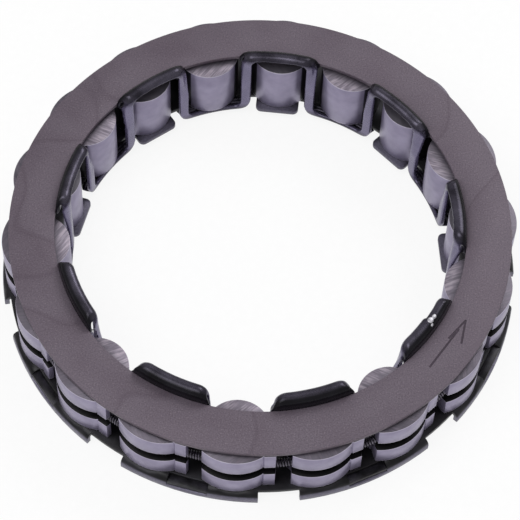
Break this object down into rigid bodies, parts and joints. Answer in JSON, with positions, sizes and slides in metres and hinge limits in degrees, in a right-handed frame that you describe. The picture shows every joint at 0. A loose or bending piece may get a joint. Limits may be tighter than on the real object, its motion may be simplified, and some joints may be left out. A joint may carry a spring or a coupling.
{
  "type": "sprag clutch",
  "caption": "Caged sprag clutch: a ring of rocking sprags between two side rings, held by a serpentine band and a garter spring, to lock a shaft one way.",
  "frame": {"origin": "centre of the drag rim's lower edge, on the clutch's axis", "axes": "+Z along the clutch's axis, from the drag rim to the plain top ring; +Y through sprag_01"},
  "size_m": [0.0627, 0.0628, 0.0122],
  "materials": {
    "top_ring": "phosphated steel sheet",
    "flange": "blackened spring steel sheet",
    "band": "blackened polished strip",
    "spring": "drawn wire",
    "sprag": "ground hardened steel"
  },
  "bodies": {
    "cage": {"top_ring": "top_ring", "flange_ring": "flange", "serpentine_band": "band", "garter_spring": "spring"},
    "sprag_01": {"sprag_01": "sprag"},
    "sprag_02": {"sprag_02": "sprag"},
    "sprag_03": {"sprag_03": "sprag"},
    "sprag_04": {"sprag_04": "sprag"},
    "sprag_05": {"sprag_05": "sprag"},
    "sprag_06": {"sprag_06": "sprag"},
    "sprag_07": {"sprag_07": "sprag"},
    "sprag_08": {"sprag_08": "sprag"},
    "sprag_09": {"sprag_09": "sprag"},
    "sprag_10": {"sprag_10": "sprag"},
    "sprag_11": {"sprag_11": "sprag"},
    "sprag_12": {"sprag_12": "sprag"},
    "sprag_13": {"sprag_13": "sprag"},
    "sprag_14": {"sprag_14": "sprag"},
    "sprag_15": {"sprag_15": "sprag"},
    "sprag_16": {"sprag_16": "sprag"},
    "sprag_17": {"sprag_17": "sprag"},
    "sprag_18": {"sprag_18": "sprag"}
  },
  "joints": [
    {"name": "sprag_01_tilt", "type": "hinge", "parent": "cage", "child": "sprag_01", "pos_m": [0, 0.0266, 0.0057], "axis": [0, 0, 1], "range_deg": [-5, 8], "stiffness_Nm_per_rad": 0.003},
    {"name": "sprag_02_tilt", "type": "hinge", "parent": "cage", "child": "sprag_02", "pos_m": [-0.0091, 0.025, 0.0057], "axis": [0, 0, 1], "range_deg": [-5, 8], "stiffness_Nm_per_rad": 0.003},
    {"name": "sprag_03_tilt", "type": "hinge", "parent": "cage", "child": "sprag_03", "pos_m": [-0.0171, 0.02038, 0.0057], "axis": [0, 0, 1], "range_deg": [-5, 8], "stiffness_Nm_per_rad": 0.003},
    {"name": "sprag_04_tilt", "type": "hinge", "parent": "cage", "child": "sprag_04", "pos_m": [-0.02304, 0.0133, 0.0057], "axis": [0, 0, 1], "range_deg": [-5, 8], "stiffness_Nm_per_rad": 0.003},
    {"name": "sprag_05_tilt", "type": "hinge", "parent": "cage", "child": "sprag_05", "pos_m": [-0.0262, 0.00462, 0.0057], "axis": [0, 0, 1], "range_deg": [-5, 8], "stiffness_Nm_per_rad": 0.003},
    {"name": "sprag_06_tilt", "type": "hinge", "parent": "cage", "child": "sprag_06", "pos_m": [-0.0262, -0.00462, 0.0057], "axis": [0, 0, 1], "range_deg": [-5, 8], "stiffness_Nm_per_rad": 0.003},
    {"name": "sprag_07_tilt", "type": "hinge", "parent": "cage", "child": "sprag_07", "pos_m": [-0.02304, -0.0133, 0.0057], "axis": [0, 0, 1], "range_deg": [-5, 8], "stiffness_Nm_per_rad": 0.003},
    {"name": "sprag_08_tilt", "type": "hinge", "parent": "cage", "child": "sprag_08", "pos_m": [-0.0171, -0.02038, 0.0057], "axis": [0, 0, 1], "range_deg": [-5, 8], "stiffness_Nm_per_rad": 0.003},
    {"name": "sprag_09_tilt", "type": "hinge", "parent": "cage", "child": "sprag_09", "pos_m": [-0.0091, -0.025, 0.0057], "axis": [0, 0, 1], "range_deg": [-5, 8], "stiffness_Nm_per_rad": 0.003},
    {"name": "sprag_10_tilt", "type": "hinge", "parent": "cage", "child": "sprag_10", "pos_m": [0, -0.0266, 0.0057], "axis": [0, 0, 1], "range_deg": [-5, 8], "stiffness_Nm_per_rad": 0.003},
    {"name": "sprag_11_tilt", "type": "hinge", "parent": "cage", "child": "sprag_11", "pos_m": [0.0091, -0.025, 0.0057], "axis": [0, 0, 1], "range_deg": [-5, 8], "stiffness_Nm_per_rad": 0.003},
    {"name": "sprag_12_tilt", "type": "hinge", "parent": "cage", "child": "sprag_12", "pos_m": [0.0171, -0.02038, 0.0057], "axis": [0, 0, 1], "range_deg": [-5, 8], "stiffness_Nm_per_rad": 0.003},
    {"name": "sprag_13_tilt", "type": "hinge", "parent": "cage", "child": "sprag_13", "pos_m": [0.02304, -0.0133, 0.0057], "axis": [0, 0, 1], "range_deg": [-5, 8], "stiffness_Nm_per_rad": 0.003},
    {"name": "sprag_14_tilt", "type": "hinge", "parent": "cage", "child": "sprag_14", "pos_m": [0.0262, -0.00462, 0.0057], "axis": [0, 0, 1], "range_deg": [-5, 8], "stiffness_Nm_per_rad": 0.003},
    {"name": "sprag_15_tilt", "type": "hinge", "parent": "cage", "child": "sprag_15", "pos_m": [0.0262, 0.00462, 0.0057], "axis": [0, 0, 1], "range_deg": [-5, 8], "stiffness_Nm_per_rad": 0.003},
    {"name": "sprag_16_tilt", "type": "hinge", "parent": "cage", "child": "sprag_16", "pos_m": [0.02304, 0.0133, 0.0057], "axis": [0, 0, 1], "range_deg": [-5, 8], "stiffness_Nm_per_rad": 0.003},
    {"name": "sprag_17_tilt", "type": "hinge", "parent": "cage", "child": "sprag_17", "pos_m": [0.0171, 0.02038, 0.0057], "axis": [0, 0, 1], "range_deg": [-5, 8], "stiffness_Nm_per_rad": 0.003},
    {"name": "sprag_18_tilt", "type": "hinge", "parent": "cage", "child": "sprag_18", "pos_m": [0.0091, 0.025, 0.0057], "axis": [0, 0, 1], "range_deg": [-5, 8], "stiffness_Nm_per_rad": 0.003}
  ]
}
